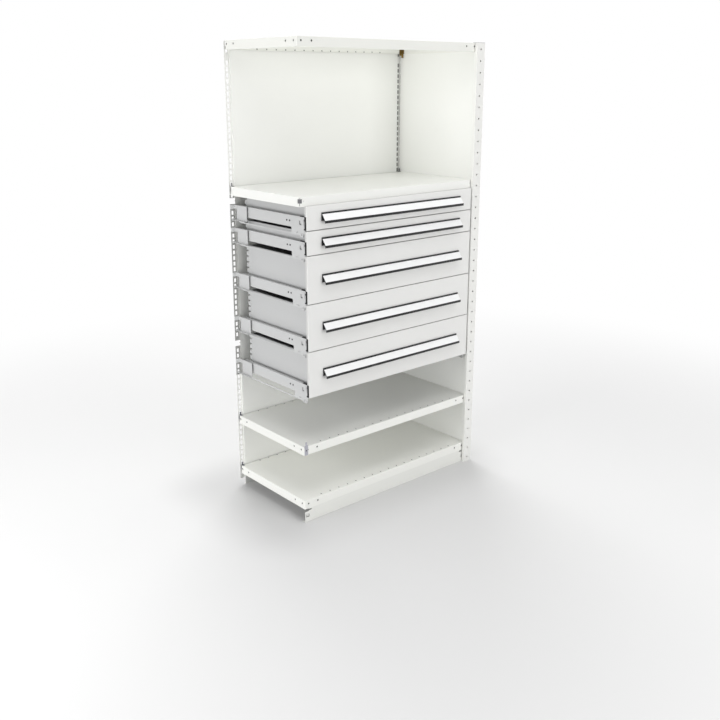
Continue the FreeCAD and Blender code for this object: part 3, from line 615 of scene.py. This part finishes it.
def postCap(box):
    # thin plate with a plug that is drawn down from its underside
    look = capLook
    low, high = box
    side, out, thick = look["plate"]
    base = high[2] - look["seat"]
    slab((low[0] + side, low[1] + out, base), (high[0] - out, high[1] - out, base + thick))
    for x in (low[0] + look["plug"][0] + look["plugGap"], high[0] - look["plug"][1]):
        bpy.ops.mesh.select_all(action="SELECT")
        bpy.ops.mesh.bisect(plane_co=(x, 0, 0), plane_no=(1, 0, 0))
    for y in (low[1] + look["plug"][1], high[1] - look["plug"][1]):
        bpy.ops.mesh.select_all(action="SELECT")
        bpy.ops.mesh.bisect(plane_co=(0, y, 0), plane_no=(0, 1, 0))
    pick("FACE", lambda at, normal: normal.z < -0.9 and low[0] + look["plug"][0] < at.x
         < high[0] - look["plug"][1] and low[1] + look["plug"][1] < at.y < high[1] - look["plug"][1])
    bpy.ops.mesh.extrude_region_move(TRANSFORM_OT_translate={"value": (0, 0, -look["plugDrop"])})
    rounded(look["edge"])


def roller(look, centre):
    # moulded roller: hub and web are sunk between the tread and the pin
    deselectAll()
    bpy.ops.mesh.primitive_cylinder_add(vertices=48, radius=look["radius"], depth=look["width"],
                                        location=centre, rotation=(0, math.radians(90), 0))
    bpy.ops.object.transform_apply(location=True, rotation=True, scale=True)
    pick("FACE", lambda at, normal: abs(normal.x) > 0.9)
    bpy.ops.mesh.inset(thickness=look["tread"])
    bpy.ops.mesh.inset(thickness=look["step"])
    bpy.ops.mesh.extrude_region_shrink_fatten(TRANSFORM_OT_shrink_fatten={"value": -look["sunk"]})
    bpy.ops.mesh.inset(thickness=look["web"])
    bpy.ops.mesh.extrude_region_shrink_fatten(TRANSFORM_OT_shrink_fatten={"value": look["sunk"]})
    rounded(look["edge"])


trackRoller = {"radius": 0.01415, "width": 0.0036, "tread": 0.003, "step": 0.0004, "sunk": 0.0008,
               "web": 0.0045, "edge": 0.0003, "at": (-0.48515, 0.206, 0.0249)}
runnerRoller = {"radius": 0.01375, "width": 0.0093, "tread": 0.0025, "step": 0.0004, "sunk": 0.0022,
                "web": 0.0045, "edge": 0.0005, "at": (-0.4694, -0.204, 0.030)}


def roomRight(x):
    # how far a left piece centred at x moves to its mirrored place
    return 2 * (bay["middleX"] - x)


drawerBottoms = [1.265, 1.165, 0.965, 0.765, 0.565]
bufferMiddle = (bufferLook["low"][0] + bufferLook["high"][0]) / 2
studMiddle = (studLook["from"] + studLook["to"]) / 2
black, blackSlot = "handlePlastic", "handle_plastic"
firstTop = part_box("drawer_handle_1")[1][2]

handlePull(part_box("drawer_handle_1"))
firstPull = finished("handlePull1", black, "drawer_1")
labelPlate(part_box("label_strip_1"))
firstLabel = finished("labelPlate1", "labelPaper", "drawer_1")
endBlock(drawerBottoms[0])
firstBlock = finished("endBlockLeft1", black, "drawer_1")
railBuffer(drawerBottoms[0])
firstBuffer = finished("railBufferLeft1", black, "cabinet_frame")
railStuds(drawerBottoms[0])
firstStuds = finished("railStudsLeft1", black, "cabinet_frame")
rollers = []
for kind, look in (("trackRoller", trackRoller), ("runnerRoller", runnerRoller)):
    x, y, level = look["at"]
    roller(look, (x, y, drawerBottoms[0] + level))
    rollers.append((kind, x, finished(kind + "Left1", black, "slide_members_1")))
print("first pull, label, blocks, studs and rollers made")

for number, bottom in zip(drawerNumbers, drawerBottoms):
    body, members = "drawer_%d" % number, "slide_members_%d" % number
    drop = bottom - drawerBottoms[0]
    pull, plate = firstPull, firstLabel
    if number > 1:
        shift = (0, 0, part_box("drawer_handle_%d" % number)[1][2] - firstTop)
        pull = copyOf(firstPull, "handlePull%d" % number, shift, black, body)
        plate = copyOf(firstLabel, "labelPlate%d" % number, shift, "labelPaper", body)
    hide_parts("drawer_handle_%d" % number)
    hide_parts("label_strip_%d" % number)
    repeats = [("railBuffer", firstBuffer, roomRight(bufferMiddle), "cabinet_frame"),
               ("railStuds", firstStuds, roomRight(studMiddle), "cabinet_frame")]
    repeats += [(kind, piece, roomRight(x), members) for kind, x, piece in rollers]
    for kind, piece, across, carrier in repeats:
        if number > 1:
            copyOf(piece, "%sLeft%d" % (kind, number), (0, 0, drop), black, carrier)
        copyOf(piece, "%sRight%d" % (kind, number), (across, 0, drop), black, carrier)
    if number > 1:
        copyOf(firstBlock, "endBlockLeft%d" % number, (0, 0, drop), black, body)
    copyOf(firstBlock, "endBlockRight%d" % number, (0, 0, drop), black, body, turned=True)

frontCapBox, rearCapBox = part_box("front_post_cap"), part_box("rear_post_cap")
postCap(frontCapBox)
frontCap = finished("postCapFront", "capPlastic", "cabinet_frame")
rearCap = copyOf(frontCap, "postCapRear", (0, rearCapBox[0][1] - frontCapBox[0][1], 0),
                 "capPlastic", "cabinet_frame")
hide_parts("front_post_cap")
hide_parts("rear_post_cap")
print("copies and post caps made")


def seenDirectly(net):
    # 1 for rays that show the background: straight from the camera, by gloss or through glass
    outs = net.node("ShaderNodeLightPath", {}, {}).socket.node.outputs
    camera, gloss, glass = [Signal(net, outs["Is %s Ray" % kind])
                            for kind in ("Camera", "Glossy", "Transmission")]
    return camera.most(gloss).most(glass)


def paleFloor(look):
    deselectAll()
    bpy.ops.mesh.primitive_plane_add(size=look["size"], location=(0, 0, 0))
    floor = settle("studioFloor")
    material, net = newMaterial("studioFloor")
    place = net.place()
    across, along, up = net.parts(place)
    far = (across * across + along * along) ** 0.5
    fade = far.ramp(look["fadeStart"], look["fadeEnd"])
    cloud = net.noise(place, look["cloud"], 2.0, 0.5)
    # painted shadow: one pale paint, a little darker close to the cabinet, mostly on its left
    beside = (abs(across - look["nearX"]) - look["halfLength"]).most(0.0)
    before = (abs(along - look["nearY"]) - look["halfDepth"]).most(0.0)
    near = (beside * beside + before * before) ** 0.5
    paintedShadow = near.ramp(0.0, look["nearEnd"], look["nearTone"], 1.0)
    colour = net.tone(look["colour"][:3], paintedShadow * (0.995 + 0.01 * cloud))
    ground = net.node("ShaderNodeBsdfDiffuse", {}, {"Color": colour})
    glow = net.node("ShaderNodeEmission", {}, {"Color": rgb(1, 1, 1), "Strength": 1.0})
    mixed = net.node("ShaderNodeMixShader", {}, {0: fade * seenDirectly(net), 1: ground, 2: glow})
    net.node("ShaderNodeOutputMaterial", {}, {0: mixed})
    floor.data.materials.append(material)


def paleWorld(look):
    world = bpy.data.worlds.new("studioWorld")
    bpy.context.scene.world = world
    world.use_nodes = True
    net = Net(world.node_tree)
    ambient = net.node("ShaderNodeBackground", {}, {"Color": look["colour"], "Strength": look["strength"]})
    white = net.node("ShaderNodeBackground", {}, {"Color": rgb(1, 1, 1), "Strength": 1.0})
    mixed = net.node("ShaderNodeMixShader", {}, {0: seenDirectly(net), 1: ambient, 2: white})
    net.node("ShaderNodeOutputWorld", {}, {0: mixed})


def softbox(name, look):
    lamp = bpy.data.lights.new(name, "AREA")
    lamp.shape = "RECTANGLE"
    lamp.size, lamp.size_y = look["size"]
    lamp.energy = look["power"]
    holder = bpy.data.objects.new(name, lamp)
    bpy.context.scene.collection.objects.link(holder)
    holder.location = look["at"]
    aim = Vector(look["towards"]) - Vector(look["at"])
    holder.rotation_euler = aim.to_track_quat("-Z", "Y").to_euler()
    holder.visible_camera = False
    holder.visible_glossy = False


softboxes = {
    "leftKey": {"at": (-4.1, 0.1, 1.5), "towards": (0, 0, 1.0), "size": (2.8, 2.4), "power": 75.0},
    "leftLow": {"at": (-3.0, -0.3, 0.35), "towards": (0, 0, 0.3), "size": (2.0, 0.6), "power": 4.0},
    "front": {"at": (0.6, -4.8, 1.6), "towards": (0, 0, 1.0), "size": (3.0, 3.0), "power": 83.0},
    "overhead": {"at": (-0.2, -0.6, 4.6), "towards": (0, 0, 0), "size": (4.5, 4.5), "power": 89.0},
    "rearTop": {"at": (1.8, 3.2, 4.2), "towards": (0, 0, 0), "size": (3.0, 3.0), "power": 128.0},
}
for name, look in softboxes.items():
    softbox(name, look)
paleFloor({"size": 30.0, "colour": rgb(0.82, 0.82, 0.82), "cloud": 1.3, "fadeStart": 1.2, "fadeEnd": 3.6,
           "nearX": -0.08, "nearY": 0.06, "halfLength": 0.515, "halfDepth": 0.25,
           "nearEnd": 0.34, "nearTone": 0.84})
paleWorld({"colour": rgb(1, 1, 1), "strength": 0.35})


def photoCamera(look):
    data = bpy.data.cameras.new("photoCamera")
    data.sensor_width = look["sensor"]
    data.lens = look["sensor"] * look["focalPixels"] / look["framePixels"]
    data.shift_y = look["shift"]
    data.clip_start, data.clip_end = 0.05, 100.0
    camera = bpy.data.objects.new("photoCamera", data)
    bpy.context.scene.collection.objects.link(camera)
    camera.location = look["at"]
    yaw, pitch = math.radians(look["yaw"]), math.radians(look["pitch"])
    ahead = Vector((math.sin(yaw) * math.cos(pitch), math.cos(yaw) * math.cos(pitch), -math.sin(pitch)))
    camera.rotation_euler = ahead.to_track_quat("-Z", "Y").to_euler()
    bpy.context.scene.camera = camera


photoCamera({"at": (-2.584, -2.986, 1.838), "yaw": 40.861, "pitch": 15.434, "sensor": 36.0,
             "focalPixels": 880.7, "framePixels": 720, "shift": -0.05})
bpy.context.scene.view_settings.view_transform = "Standard"
print("stage, light and camera ready")
